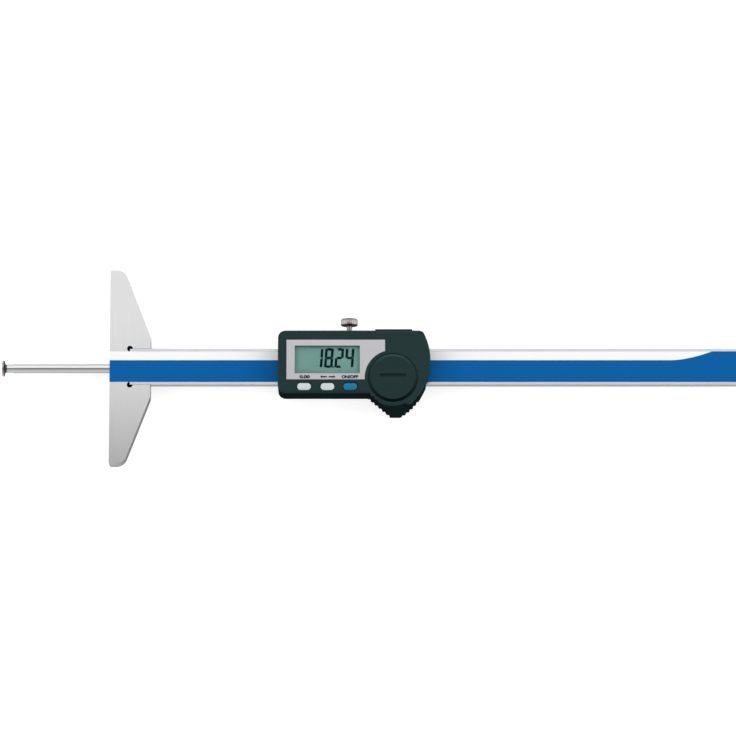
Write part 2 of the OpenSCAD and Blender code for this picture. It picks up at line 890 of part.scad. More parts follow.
module housing() color(case_green) {
    button_hole = stadium(button_length + 2 * lid_clear, button_height + 2 * lid_clear);
    on_slider() difference() {
        union() {
            difference() {
                case_block();
                slab(case_outline(side_wall), case_back - cut, case_inside);
                battery_cylinder(ring_radius - grip_cavity_inset, case_back - cut, pocket_z - pocket_floor);
            }
            battery_cylinder(pocket_radius + pocket_wall, pocket_z - pocket_floor,
                             case_inside + front_overlap);
            at_case_screws() translate([0, 0, board_top])
                cylinder(r = boss_radius, h = case_inside + front_overlap - board_top);
        }
        battery_pocket();
        middle_block(-cut, case_length + 2 * cut, beam_width / 2 + passage_clear, case_back - cut, board_z);
        window_plate(0, case_inside - cut, case_front);
        window_plate(window_rim, window_z, case_front);
        translate([0, 0, panel_z]) linear_extrude(height = panel_thickness + cut) panel_shape();
        for (x = button_x)
            translate([x, button_y, 0]) slab(button_hole, case_inside - cut, case_front + cut);
        at_case_screws()
            cylinder(r = case_screw_radius + screw_clear, h = board_top + boss_depth + screw_clear);
        edge_cylinder(lock_x, 0, case_top + cut, lock_radius + lock_hole_clear);
        port_openings();
    }
}

// Room for the cell, the cover's bayonet and the cover itself
module battery_pocket() {
    battery_cylinder(pocket_radius, pocket_z, case_front);
    battery_cylinder(pocket_radius + lug_depth, spigot_z, ledge_z);
    battery_cylinder(cover_radius + lid_clear, case_front - cover_seat, case_front + cut);
    for (start = [0, 180])
        sector(pocket_radius - cut, pocket_radius + lug_depth, spigot_z, case_front,
               start + lug_turn - lug_gate_angle / 2, lug_gate_angle);
    battery_cylinder(contact_leg_radius + hole_clear, board_top, pocket_z + cut);
    translate([plus_leg.x, plus_leg.y, board_top])
        cylinder(r = plus_leg_radius + hole_clear, h = pocket_z - board_top + cut);
}

// Opening over the data port's contacts, and the slot for its cover's tongue
module port_openings() {
    wall_y = case_top - side_wall - cut;
    depth = side_wall + 2 * cut;
    slot_width = tongue_width + 2 * loose_clear;
    translate([port_hole_x, wall_y, port_hole_z]) cube([port_hole_length, depth, port_hole_height]);
    translate([tongue_x - port_travel - loose_clear, wall_y, tongue_z - slot_width / 2])
        cube([port_travel + tongue_length + 2 * loose_clear, depth, slot_width]);
}

module port_cover() color(case_green) {
    foot_y = case_top - side_wall - foot_gap - foot_thickness;
    on_slider() {
        translate([port_x, case_top + port_lift, case_back + port_back])
            cube([port_length, port_rise - port_lift, case_front - port_front - case_back - port_back]);
        translate([tongue_x, foot_y, tongue_z - tongue_width / 2])
            cube([tongue_length, case_top + port_rise - foot_y, tongue_width]);
        translate([tongue_x + tongue_length / 2 - foot_length / 2, foot_y, tongue_z - foot_width / 2])
            cube([foot_length, foot_thickness, foot_width]);
    }
}

// Panel outline: a rectangle with the round of the battery cover's ring taken out
module panel_shape() {
    difference() {
        translate([panel_x, case_top - panel_top - panel_height]) square([panel_length, panel_height]);
        translate([cover_x, cover_y]) circle(r = ring_radius);
    }
}

module front_panel() color([0.79, 0.77, 0.77]) {
    on_slider() difference() {
        translate([0, 0, panel_z]) linear_extrude(height = panel_thickness) panel_shape();
        window_plate(0, case_inside, case_front + cut);
    }
}

module display_window() color([0.85, 0.9, 0.9, 0.4]) {
    on_slider() window_plate(window_rim, window_z, panel_z);
}

module housing_screws() color(screw_steel) {
    on_slider() at_case_screws() translate([0, 0, case_screw_sink])
        countersunk(case_screw_radius, case_screw_head_radius, case_screw_head_height,
                    board_top + boss_depth - case_screw_sink);
}

// Lock screw

module lock_pad() color([0.75, 0.6, 0.35]) {
    on_slider() edge_cylinder(lock_x, pad_y, pad_length, lock_radius - screw_clear);
}

module lock_screw() color([0.66, 0.64, 0.61]) {
    head_radius = lock_head_diameter / 2;
    root_radius = head_radius * (1 - knurl_depth_share);
    rim_radius = root_radius - knurl_margin;
    on_slider() {
        edge_cylinder(lock_x, stem_y, head_y - stem_y + cut, lock_radius);
        translate([lock_x, head_y, edge_z]) rotate([-90, 0, 0]) {
            translate([0, 0, lock_head_chamfer])
                linear_extrude(height = lock_head_height - 2 * lock_head_chamfer) polygon([
                    for (i = [0:2 * knurl_count - 1])
                        let (r = i % 2 == 0 ? head_radius : root_radius, a = 180 * i / knurl_count)
                        r * [cos(a), sin(a)]
                ]);
            cylinder(r1 = rim_radius - lock_head_chamfer, r2 = rim_radius, h = lock_head_chamfer);
            translate([0, 0, lock_head_height - lock_head_chamfer])
                cylinder(r1 = rim_radius, r2 = rim_radius - lock_head_chamfer, h = lock_head_chamfer);
        }
    }
}

beam();
base();
base_screws();
dowel_pins();
scale_strip();
label_white();
label_blue();
end_stop();
end_stop_screws();
slider_frame();
gib_strip();
gib_screws();
circuit_board();
controller_chip();
display_glass();
display_connector();
button_membrane();
port_contacts();
battery_cell();
contact_minus();
contact_plus();
housing();
front_panel();
display_window();
housing_screws();
depth_rod();
rod_screws();
measuring_disc();
disc_screw();
lock_pad();
lock_screw();
button_set();
button_unit();
button_power();
battery_cover();
cover_seal();
port_cover();
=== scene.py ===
"""Looks of a digital depth gauge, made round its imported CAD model.

The gauge lies on its back. X runs along the beam, Y across it and Z out of the display. Blender's unit is the
metre, so lengths written in millimetres are multiplied by MM. The CAD nodes keep their shapes and get their
finishes here. Pieces whose edges or details show are made here as finer surfaces and stand for their nodes.
"""

import json
import math

import bmesh
import bpy
import numpy as np
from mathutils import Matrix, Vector


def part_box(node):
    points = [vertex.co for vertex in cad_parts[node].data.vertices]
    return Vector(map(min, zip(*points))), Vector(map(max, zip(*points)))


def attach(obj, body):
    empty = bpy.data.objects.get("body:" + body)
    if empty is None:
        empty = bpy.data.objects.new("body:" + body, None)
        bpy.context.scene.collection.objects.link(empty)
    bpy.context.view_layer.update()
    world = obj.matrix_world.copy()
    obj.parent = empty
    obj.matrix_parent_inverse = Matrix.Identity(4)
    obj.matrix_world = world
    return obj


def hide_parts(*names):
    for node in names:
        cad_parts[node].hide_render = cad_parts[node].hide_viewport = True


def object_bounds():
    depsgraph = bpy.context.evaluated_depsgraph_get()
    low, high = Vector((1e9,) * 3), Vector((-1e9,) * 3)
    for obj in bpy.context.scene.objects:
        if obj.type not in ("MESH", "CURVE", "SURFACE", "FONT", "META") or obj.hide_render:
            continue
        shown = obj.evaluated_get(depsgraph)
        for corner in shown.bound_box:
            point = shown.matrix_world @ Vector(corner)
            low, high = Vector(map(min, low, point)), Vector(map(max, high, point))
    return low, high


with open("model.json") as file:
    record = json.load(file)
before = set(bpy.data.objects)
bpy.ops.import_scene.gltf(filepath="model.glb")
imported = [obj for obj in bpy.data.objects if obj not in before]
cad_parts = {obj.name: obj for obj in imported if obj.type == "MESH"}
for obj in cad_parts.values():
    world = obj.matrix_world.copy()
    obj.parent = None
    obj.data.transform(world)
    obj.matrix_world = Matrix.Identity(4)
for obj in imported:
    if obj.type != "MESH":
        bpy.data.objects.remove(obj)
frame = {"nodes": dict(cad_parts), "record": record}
bpy.context.view_layer.update()
CAD_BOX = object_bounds()
MM = 0.001

# Camera: what it looks at, in millimetres, and how it stands
LOOK_AT = (131.2, -0.7, 10.0)
ELEVATION = 79.0
DISTANCE = 2400.0
SEEN_WIDTH = 373.6
SENSOR = 36.0

# Studio: radiance over the angle from the far horizon (0), through straight up (90), to the near one (180)
STUDIO_BAND = [(0, 0.85), (20, 0.85), (40, 0.95), (62, 0.7), (80, 0.36), (96, 0.28), (112, 0.28), (126, 0.42),
               (150, 0.8), (180, 0.75)]
STUDIO_SIDES = 2.3
SIDE_START, SIDE_END = 0.45, 0.9
# Softbox over the gauge's far side, in metres: its middle, size and radiance
BOX_AT = (0.13, 0.215, 0.39)
BOX_SIZE = (0.9, 0.35)
BOX_LIGHT = 0.6
FLOOR_HALF = 6.0
FLOOR_DROP = 0.05
FLOOR_GLOW = 0.7

# Display: a seven-segment reading, in millimetres from the slider's left edge and from the beam's middle
SLIDER_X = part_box("housing")[0].x / MM
READING = "18.24"
SEGMENTS = {"0": "abcdef", "1": "bc", "2": "abdeg", "3": "abcdg", "4": "bcfg", "5": "acdfg", "6": "acdefg",
            "7": "abc", "8": "abcdefg", "9": "abcdfg"}
DIGIT_RIGHT = 38.8
DIGIT_LOW = -2.1
DIGIT_HEIGHT = 10.2
DIGIT_WIDTH = 4.35
DIGIT_STROKE = 1.3
DIGIT_PITCH = 5.23
DIGIT_SLANT = 0.068
SEGMENT_GAP = 0.03
END_FALL = 0.3
MIDDLE_GAP = 0.12
CORNER_CUT = 0.4
POINT_SIZE = 0.75
POINT_SHIFT = 0.7
INK_HEIGHT = 0.02

# Legends over the buttons: middle, width and height
LEGEND_Y = -7.0
LEGEND_HEIGHT = 1.75
LETTER_BOLD = 0.065
ZERO_X, ZERO_WIDTH = 13.6, 5.2
ARROWS_X, ARROW_LENGTH, ARROW_GAP = 25.25, 3.4, 0.9
POWER_X, POWER_WIDTH = 36.4, 8.4

# Buttons: rounded keys with a low crown
KEY_SIZE = (6.93, 3.6)
KEY_Y = -12.05
KEY_EDGE = 0.55
KEY_CROWN = 0.12
KEY_DEPTH = 2.6
KEY_STEPS, KEY_ROUND = 6, 48

# Holes drilled at the corners of the beam's slot in the base, inside which shade is painted
RELIEF_X, RELIEF_Y, RELIEF_RADIUS, RELIEF_TOP = 10.3, 9.3, 1.6, 9.97

# Lock screw. Its knurl is drawn coarser than a real one, whose flutes would be too fine to show
KNOB_HEIGHT = 3.3
KNOB_CHAMFER = 0.6
KNOB_CROWN = 0.05
DISH_DEPTH, DISH_RING = 0.15, 0.6
LOWER_CHAMFER = 0.35
GROOVE_WIDTH, GROOVE_DEPTH = 0.3, 0.15
KNOB_FLUTES, FLUTE_STEPS = 30, 8
FLUTE_DEPTH = 0.12
STEM_RADIUS = 1.35

# Measuring disc, turned with its hub: depth behind the face and radius, from the bore round to the bore
DISC_PROFILE = [(2.4, 1.03), (0.8, 1.03), (0, 1.95), (0, 4.03), (0.12, 4.15), (0.8, 4.15), (1.2, 3.7),
                (1.4, 2.7), (1.5, 2.3), (1.7, 2.05), (2.0, 2.0), (2.4, 2.0)]
RIM_WIDTH = 0.8
DISC_ROUND = 96

# How far the metal's upright faces towards -Y and -X count as flat ones, which keep all their colour and get
# no painted shade
NEAR_SHARE = 0.38
FRONT_SHARE = 0.25
# Normal Z of a metal face at which its colour starts to grow out of the painted shade, and at which it is
# whole
STANDING, LYING = 0.1, 0.85
# Tint of the low-angle gloss where a mask paints shade on a metal
DARK_RIM = "747474"
# The lock screw's painted shade starts this far below its knurled band
MASK_MARGIN = 0.02
# Width of the slow clouds of tone on metal and on plastic
METAL_CLOUD, PLASTIC_CLOUD = 22, 14
# Moulded plastic: weight of leaning back, range and paleness of the painted light on faces that lean back,
# spread of the roughness
LEAN_BACK = 0.45
LIT_RANGE = (1.01, 1.09)
PALE = 1.7
ROUGH_SPREAD = 0.06

# Points closer than this become one, and edges shorter than this go
MERGE, SLIVER = 0.0005, 0.0001


def linear(code):
    """Colour written as a six-figure sRGB code, turned to linear light."""
    parts = np.array([int(code[i:i + 2], 16) for i in (0, 2, 4)]) / 255
    light = np.where(parts <= 0.04045, parts / 12.92, ((parts + 0.055) / 1.055) ** 2.4)
    return (*light.tolist(), 1.0)


def add(tree, kind, sockets=None, **settings):
    """Adds a node with its settings. Each socket gets its value, or a link where the value is an output."""
    node = tree.nodes.new("ShaderNode" + kind)
    for name, value in settings.items():
        setattr(node, name, value)
    for name, value in (sockets or {}).items():
        if isinstance(value, bpy.types.NodeSocket):
            tree.links.new(value, node.inputs[name])
        else:
            node.inputs[name].default_value = value
    return node


def blank(name):
    """New material with nothing in its tree but the output."""
    material = bpy.data.materials.new(name)
    material.use_nodes = True
    tree = material.node_tree
    tree.nodes.clear()
    output = add(tree, "OutputMaterial")
    return material, tree, output.inputs["Surface"]


# Studio

def build_camera():
    """Camera at the photograph's angle: it looks along +Y and steeply down."""
    tilt = math.radians(ELEVATION)
    back = Vector((0, -math.cos(tilt), math.sin(tilt)))
    data = bpy.data.cameras.new("camera")
    data.sensor_width = SENSOR
    data.lens = SENSOR * DISTANCE / SEEN_WIDTH
    camera = bpy.data.objects.new("camera", data)
    bpy.context.scene.collection.objects.link(camera)
    camera.location = (Vector(LOOK_AT) + back * DISTANCE) * MM
    camera.rotation_mode = "QUATERNION"
    camera.rotation_quaternion = (-back).to_track_quat("-Z", "Y")
    bpy.context.scene.camera = camera


def build_world():
    """Studio round the object: a broad bright screen beyond it, a dark gap overhead where the camera hangs,
    and a dimmer wall in front. It is the same along X, and evens out towards both sides."""
    world = bpy.data.worlds.new("studio")
    bpy.context.scene.world = world
    world.use_nodes = True
    tree = world.node_tree
    tree.nodes.clear()
    direction = add(tree, "SeparateXYZ", {0: add(tree, "TexCoord").outputs["Generated"]}).outputs
    angle = add(tree, "Math", {0: direction["Z"], 1: direction["Y"]}, operation="ARCTAN2").outputs[0]
    share = add(tree, "Math", {0: angle, 1: math.pi}, operation="DIVIDE").outputs[0]
    ramp = add(tree, "ValToRGB", {"Fac": share})
    peak = max(level for _, level in STUDIO_BAND)
    elements = ramp.color_ramp.elements
    for at, level in STUDIO_BAND:
        if at == 0:
            element = elements[0]
        elif at == 180:
            element = elements[len(elements) - 1]
        else:
            element = elements.new(at / 180)
        element.color = (level / peak,) * 3 + (1,)
    aside = add(tree, "Math", {0: direction["X"]}, operation="ABSOLUTE").outputs[0]
    side = add(tree, "MapRange", {"Value": aside, "From Min": SIDE_START, "From Max": SIDE_END},
               interpolation_type="SMOOTHSTEP")
    evened = add(tree, "Mix", {"Factor": side.outputs[0], "A": ramp.outputs[0],
                               "B": (STUDIO_SIDES / peak,) * 3 + (1,)}, data_type="RGBA")
    light = add(tree, "Background", {"Color": evened.outputs["Result"], "Strength": peak})
    add(tree, "OutputWorld", {"Surface": light.outputs[0]})


def build_softbox():
    """Softbox that looks straight down. The flat faces mirror it, and its near edge shades the base's lower
    wing. A lamp's power is its radiance times its area times pi."""
    data = bpy.data.lights.new("softbox", "AREA")
    data.shape = "RECTANGLE"
    data.size, data.size_y = BOX_SIZE
    data.energy = BOX_LIGHT * BOX_SIZE[0] * BOX_SIZE[1] * math.pi
    lamp = bpy.data.objects.new("softbox", data)
    bpy.context.scene.collection.objects.link(lamp)
    lamp.location = BOX_AT
    lamp.visible_camera = False


def build_floor():
    """White table, a shade under the gauge's back. It lights up a little where it is seen, so that it
    comes out white and keeps the gauge's soft shadow."""
    mesh = bpy.data.meshes.new("floor")
    corners = np.array([(-1, -1), (1, -1), (1, 1), (-1, 1)]) * FLOOR_HALF
    points = np.column_stack([corners, np.full(4, CAD_BOX[0].z - FLOOR_DROP * MM)])
    mesh.from_pydata(points.tolist(), [], [(0, 1, 2, 3)])
    floor = bpy.data.objects.new("floor", mesh)
    bpy.context.scene.collection.objects.link(floor)
    material, tree, surface = blank("table_lacquer_white")
    sight = add(tree, "LightPath").outputs
    seen = add(tree, "Math", {0: sight["Is Camera Ray"], 1: sight["Is Glossy Ray"]}, operation="MAXIMUM")
    seen = add(tree, "Math", {0: seen.outputs[0], 1: sight["Is Transmission Ray"]}, operation="MAXIMUM")
    lift = add(tree, "Math", {0: seen.outputs[0], 1: FLOOR_GLOW}, operation="MULTIPLY")
    glow = add(tree, "Emission", {"Color": linear("FFFFFF"), "Strength": lift.outputs[0]})
    coat = add(tree, "BsdfDiffuse", {"Color": linear("C4C4C4")})
    both = add(tree, "AddShader", {0: glow.outputs[0], 1: coat.outputs[0]})
    tree.links.new(both.outputs[0], surface)
    mesh.materials.append(material)


# Finishes

def metal(name, code, roughness, lay=None, grain=0.5, run=18.0, streak=0.05, tone=0.03, height=0.0006,
          edge=0.12, sides=1.0, dark=None):
    """Bare or plated metal. Streaks of grain mm by run mm lie along the axis lay, or the grain is even where
    lay is None. They change the roughness by streak and press height mm into the surface. A broad cloud
    changes the colour by tone, as handling and cleaning do. Faces that stand upright keep only the share
    sides of the colour, and no white rim at low angles: painted shade and a painted-out reflection. Those
    towards -X and -Y keep some more. Dark gives a mask's function and the colour there, which paints shade."""
    material, tree, surface = blank(name)
    place = add(tree, "TexCoord").outputs["Object"]
    scale = [1 / ((run if axis == lay else grain) * MM) for axis in "XYZ"]
    stretched = add(tree, "Mapping", {"Vector": place, "Scale": scale}).outputs[0]
    grain_field = add(tree, "TexNoise", {"Vector": stretched, "Scale": 1.0, "Detail": 3.0}).outputs[0]
    broad = 1 / (METAL_CLOUD * MM)
    cloud = add(tree, "TexNoise", {"Vector": place, "Scale": broad, "Detail": 2.0}).outputs[0]
    base = linear(code)
    darker = tuple(c * (1 - 2 * tone) for c in base[:3]) + (1,)
    colour = add(tree, "Mix", {"Factor": cloud, "A": darker, "B": base}, data_type="RGBA").outputs["Result"]
    rim = linear("FFFFFF")
    # Painted shade: upright faces lose colour and low-angle gloss by their normal, those towards -X and -Y
    # less so
    if sides < 1:
        normal = add(tree, "SeparateXYZ", {0: add(tree, "NewGeometry").outputs["Normal"]}).outputs
        ahead = add(tree, "Math", {0: normal["X"], 1: -FRONT_SHARE}, operation="MULTIPLY").outputs[0]
        below = add(tree, "Math", {0: normal["Y"], 1: -NEAR_SHARE}, operation="MULTIPLY").outputs[0]
        lying = add(tree, "Math", {0: normal["Z"], 1: ahead}, operation="MAXIMUM").outputs[0]
        lying = add(tree, "Math", {0: lying, 1: below}, operation="MAXIMUM").outputs[0]
        share = add(tree, "MapRange", {"Value": lying, "From Min": STANDING, "From Max": LYING,
                                       "To Min": sides})
        colour = add(tree, "Mix", {"Factor": share.outputs[0], "A": linear("000000"), "B": colour},
                     data_type="RGBA").outputs["Result"]
        rim = add(tree, "Mix", {"Factor": share.outputs[0], "A": linear("000000"), "B": rim},
                  data_type="RGBA").outputs["Result"]
    # Painted shade where the mask is: a darker colour and a darker low-angle gloss
    if dark:
        inside = dark[0](tree, place)
        colour = add(tree, "Mix", {"Factor": inside, "A": colour, "B": linear(dark[1])},
                     data_type="RGBA").outputs["Result"]
        rim = add(tree, "Mix", {"Factor": inside, "A": rim, "B": linear(DARK_RIM)},
                  data_type="RGBA").outputs["Result"]
    rough = add(tree, "MapRange", {"Value": grain_field, "To Min": roughness - streak,
                                   "To Max": roughness + streak})
    worn = add(tree, "Bevel", {"Radius": edge * MM}, samples=4)
    bump = add(tree, "Bump", {"Height": grain_field, "Distance": height * MM, "Normal": worn.outputs[0]})
    shader = add(tree, "BsdfPrincipled", {
        "Base Color": colour, "Metallic": 1.0, "Roughness": rough.outputs[0], "Specular Tint": rim,
        "Normal": bump.outputs[0]})
    tree.links.new(shader.outputs[0], surface)
    return material


def shade_in_relief_holes(tree, place):
    """One inside the two holes drilled at the corners of the beam's slot, below the base's face, where shade
    is painted.
    """
    at = add(tree, "SeparateXYZ", {0: place}).outputs
    across = add(tree, "Math", {0: at["Y"]}, operation="ABSOLUTE").outputs[0]
    flat = add(tree, "CombineXYZ", {"X": at["X"], "Y": across}).outputs[0]
    middle = (RELIEF_X * MM, RELIEF_Y * MM, 0)
    reach = add(tree, "VectorMath", {0: flat, 1: middle}, operation="DISTANCE").outputs["Value"]
    near = add(tree, "Math", {0: reach, 1: RELIEF_RADIUS * MM}, operation="LESS_THAN").outputs[0]
    below = add(tree, "Math", {0: at["Z"], 1: RELIEF_TOP * MM}, operation="LESS_THAN").outputs[0]
    return add(tree, "Math", {0: near, 1: below}, operation="MULTIPLY").outputs[0]


def shade_below_the_knurl(tree, place):
    """One on the lock screw below its knurled band: on the head's lower chamfer, its underside and the
    stem, where shade is painted."""
    level = add(tree, "SeparateXYZ", {0: place}).outputs["Y"]
    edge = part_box("lock_screw")[1].y - (KNOB_HEIGHT - LOWER_CHAMFER + MASK_MARGIN) * MM
    return add(tree, "Math", {0: level, 1: edge}, operation="LESS_THAN").outputs[0]


def shade_behind_the_rim(tree, place):
    """One on the measuring disc behind its lapped rim: on its sloping back and its hub, where shade is
    painted.
    """
    level = add(tree, "SeparateXYZ", {0: place}).outputs["X"]
    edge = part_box("measuring_disc")[0].x + RIM_WIDTH * MM
    return add(tree, "Math", {0: level, 1: edge}, operation="GREATER_THAN").outputs[0]


def moulded(name, code, roughness, grain=0.5, height=0.004, tone=0.06, specular=0.5, edge=0.2, walls=0.0,
            shade=(0.6, 0.95)):
    """Moulded or cast plastic or rubber, with the mould's fine grain pressed height mm deep, and a slow
    change of tone. Where walls is set, light and shade are painted by how far faces face up or back, as
    normal Z plus LEAN_BACK times normal Y: over the range shade the colour grows from one less walls to all
    of it and the gloss from none, which is painted shade, and faces that lean back further are painted paler,
    which is painted light."""
    material, tree, surface = blank(name)
    place = add(tree, "TexCoord").outputs["Object"]
    fine, broad = 1 / (grain * MM), 1 / (PLASTIC_CLOUD * MM)
    grain_field = add(tree, "TexNoise", {"Vector": place, "Scale": fine, "Detail": 2.0}).outputs[0]
    cloud = add(tree, "TexNoise", {"Vector": place, "Scale": broad, "Detail": 2.0}).outputs[0]
    base = linear(code)
    darker = tuple(c * (1 - 2 * tone) for c in base[:3]) + (1,)
    colour = add(tree, "Mix", {"Factor": cloud, "A": darker, "B": base}, data_type="RGBA")
    rough = add(tree, "MapRange", {"Value": grain_field, "To Min": roughness - ROUGH_SPREAD,
                                   "To Max": roughness + ROUGH_SPREAD})
    tint, gloss = colour.outputs["Result"], specular
    # Painted shade on standing faces and those towards -Y, and painted light on faces that lean back
    if walls:
        normal = add(tree, "SeparateXYZ", {0: add(tree, "NewGeometry").outputs["Normal"]}).outputs
        lean_back = add(tree, "Math", {0: normal["Y"], 1: LEAN_BACK}, operation="MULTIPLY").outputs[0]
        facing = add(tree, "Math", {0: normal["Z"], 1: lean_back}, operation="ADD").outputs[0]
        painted_light = add(tree, "MapRange", {"Value": facing, "From Min": LIT_RANGE[0],
                                        "From Max": LIT_RANGE[1]}).outputs[0]
        facing = add(tree, "MapRange", {"Value": facing, "From Min": shade[0],
                                        "From Max": shade[1]}).outputs[0]
        deep = tuple(c * (1 - walls) for c in base[:3]) + (1,)
        pale = tuple(c * PALE for c in base[:3]) + (1,)
        tint = add(tree, "Mix", {"Factor": facing, "A": deep, "B": tint}, data_type="RGBA").outputs["Result"]
        tint = add(tree, "Mix", {"Factor": painted_light, "A": tint, "B": pale}, data_type="RGBA").outputs["Result"]
        gloss = add(tree, "Math", {0: facing, 1: specular}, operation="MULTIPLY").outputs[0]
    worn = add(tree, "Bevel", {"Radius": edge * MM}, samples=4)
    bump = add(tree, "Bump", {"Height": grain_field, "Distance": height * MM, "Normal": worn.outputs[0]})
    shader = add(tree, "BsdfPrincipled", {
        "Base Color": tint, "Roughness": rough.outputs[0], "Specular IOR Level": gloss,
        "Normal": bump.outputs[0]})
    tree.links.new(shader.outputs[0], surface)
    return material


def clear_acrylic():
    """Cast acrylic window: clear, a trace of green, with a mirror of the studio that grows at low angles."""
    material, tree, surface = blank("cast_acrylic")
    place = add(tree, "TexCoord").outputs["Object"]
    cloud = add(tree, "TexNoise", {"Vector": place, "Scale": 1 / (9 * MM)}).outputs[0]
    tint = add(tree, "Mix", {"Factor": cloud, "A": linear("F4FAF7"), "B": linear("FAFDFB")}, data_type="RGBA")
    through = add(tree, "BsdfTransparent", {"Color": tint.outputs["Result"]})
    gloss = add(tree, "BsdfGlossy", {"Roughness": 0.03})
    mirror = add(tree, "Fresnel", {"IOR": 1.1})
    both = add(tree, "MixShader", {0: mirror.outputs[0], 1: through.outputs[0], 2: gloss.outputs[0]})
    tree.links.new(both.outputs[0], surface)
    return material


FINISHES = {
    # Surface-ground stainless steel: satin, with fine lines across the gauge. Upright faces and relief holes:
    # painted shade
    "ground_steel": metal("surface_ground_stainless", "E3E3E4", 0.24, lay="Y", grain=0.45, run=30,
                          streak=0.08, sides=0.3, dark=(shade_in_relief_holes, "0B0B0C")),
    # Stainless beam and carriage, ground along their length: satin, with fine lines along the gauge; upright
    # faces painted darker as shade
    "bright_steel": metal("length_ground_stainless", "DEE1E6", 0.28, lay="X", grain=0.4, run=40,
                          sides=0.4),
    # Centreless-ground and polished rod: a near mirror, its standing flanks painted darker as shade
    "polished_steel": metal("polished_stainless", "E0E1E2", 0.1, lay="X", grain=0.3, run=12, streak=0.02,
                            sides=0.2),
    # Hardened steel with an oil-brown skin: dark and dull, a little cloudy
    "dark_steel": metal("browned_tool_steel", "7E7470", 0.34, streak=0.08, tone=0.1),
    # The measuring disc: the same steel, with its face and rim lapped bright; its back and hub darker, partly
    # as the browned skin and partly as painted shade
    "disc_steel": metal("lapped_tool_steel", "ACA6A2", 0.1, streak=0.02, tone=0.06,
                        dark=(shade_behind_the_rim, "6E6662")),
    # Zinc-plated screws and the end stop: even, plain grey
    "screw_steel": metal("zinc_plated_steel", "A2A3A8", 0.36, streak=0.06, tone=0.05),
    # Nickel-plated brass, turned and knurled: warm grey, with bright flutes; below the knurl it is painted
    # darker as shade
    "nickel": metal("nickel_plated_brass", "97918E", 0.2, streak=0.04, tone=0.05,
                    dark=(shade_below_the_knurl, "787472")),
    # Rolled bronze of the gib and the lock pad: yellow-brown, with faint lines
    "bronze": metal("phosphor_bronze", "BE9056", 0.34, lay="X", streak=0.06),
    # Pressed glass-epoxy board of the scale: green, smooth
    "scale_laminate": moulded("glass_epoxy_laminate", "4F7A52", 0.4, grain=0.9, height=0.002),
    # Printed polyester film, with a light gloss
    "film_white": moulded("printed_film_white", "F2F2F2", 0.35, grain=1.2, height=0.0008, tone=0.01,
                          specular=0.2),
    "film_blue": moulded("printed_film_blue", "005CA0", 0.35, grain=1.2, height=0.0008, tone=0.03,
                         specular=0.08),
    # Spark-textured ABS, green-black; side walls and walls towards -Y are painted darker as shade, edges that
    # lean towards +Y painted paler as light
    "case_plastic": moulded("textured_abs_green_black", "233536", 0.6, grain=0.6, height=0.006,
                            specular=0.05, edge=0.9, walls=0.6, shade=(0.0, 0.4)),
    # The battery cover's ABS: its slope towards -Y is painted darker as shade, and its slope towards +Y
    # painted paler as light
    "cover_plastic": moulded("textured_abs_cover", "213334", 0.6, grain=0.6, height=0.006,
                             specular=0.05, edge=0.3, walls=0.8, shade=(0.7, 0.98)),
    # Anodised aluminium foil, printed, lightly brushed
    "panel_silver": metal("anodised_aluminium", "CBC9CD", 0.42, lay="X", grain=0.3, run=14, tone=0.02),
    "clear_plastic": clear_acrylic(),
    # Reflective liquid crystal: grey green
    "display_grey_green": moulded("liquid_crystal_glass", "8CB1AF", 0.35, grain=1.5, height=0.0,
                                  tone=0.05, specular=0.2),
    # Switched segments of the display, and screen-printed ink
    "display_ink": moulded("liquid_crystal_dark", "00252B", 0.4, grain=0.4, height=0.0, specular=0.0),
    "legend_ink": moulded("screen_print_ink", "2A2028", 0.5, grain=0.3, height=0.001, specular=0.2),
    # Circuit board under solder mask, and a chip moulded in epoxy: glossy green, dull black
    "board_green": moulded("solder_mask_green", "1C6B42", 0.3, grain=0.8, height=0.003),
    "chip_black": moulded("moulded_epoxy_black", "1A1A1C", 0.5, grain=0.3),
    # Plated and stamped contacts and the cell's drawn can: yellow, warm grey and plain grey gloss
    "contact_gold": metal("gold_plate", "D8B25A", 0.25),
    "contact_nickel": metal("nickel_strip", "C6C2B6", 0.28, lay="X"),
    "cell_steel": metal("drawn_steel_can", "C8CACC", 0.25),
    # Moulded silicone and nitrile rubber: matt
    "silicone_grey": moulded("silicone_rubber_grey", "4A4A4E", 0.6, grain=0.4),
    "seal_black": moulded("nitrile_rubber_black", "141414", 0.55, grain=0.3),
    # Silicone keys with a satin skin
    "button_white": moulded("key_rubber_white", "C6CDCE", 0.38, grain=0.4, height=0.002, tone=0.015,
                            specular=0.35),
    "button_blue": moulded("key_rubber_blue", "0A739F", 0.36, grain=0.4, height=0.002, tone=0.04,
                           specular=0.2),
}

# Nodes whose finish differs from their material slot's: the battery cover gets its own painted shade and
# light
OWN_FINISH = {"battery_cover": "cover_plastic"}


# Shapes

def piece(name, points, faces, body, finish, replaces=(), smooth=35.0):
    """New piece on a CAD body, from points in millimetres and faces. Points that coincide become one, which
    closes seams and poles, and the faces are turned outwards. Edges sharper than smooth degrees stay
    crisp."""
    mesh = bpy.data.meshes.new(name)
    mesh.from_pydata((np.asarray(points) * MM).tolist(), [], [list(map(int, face)) for face in faces])
    return dress(name, mesh, body, finish, replaces, smooth)


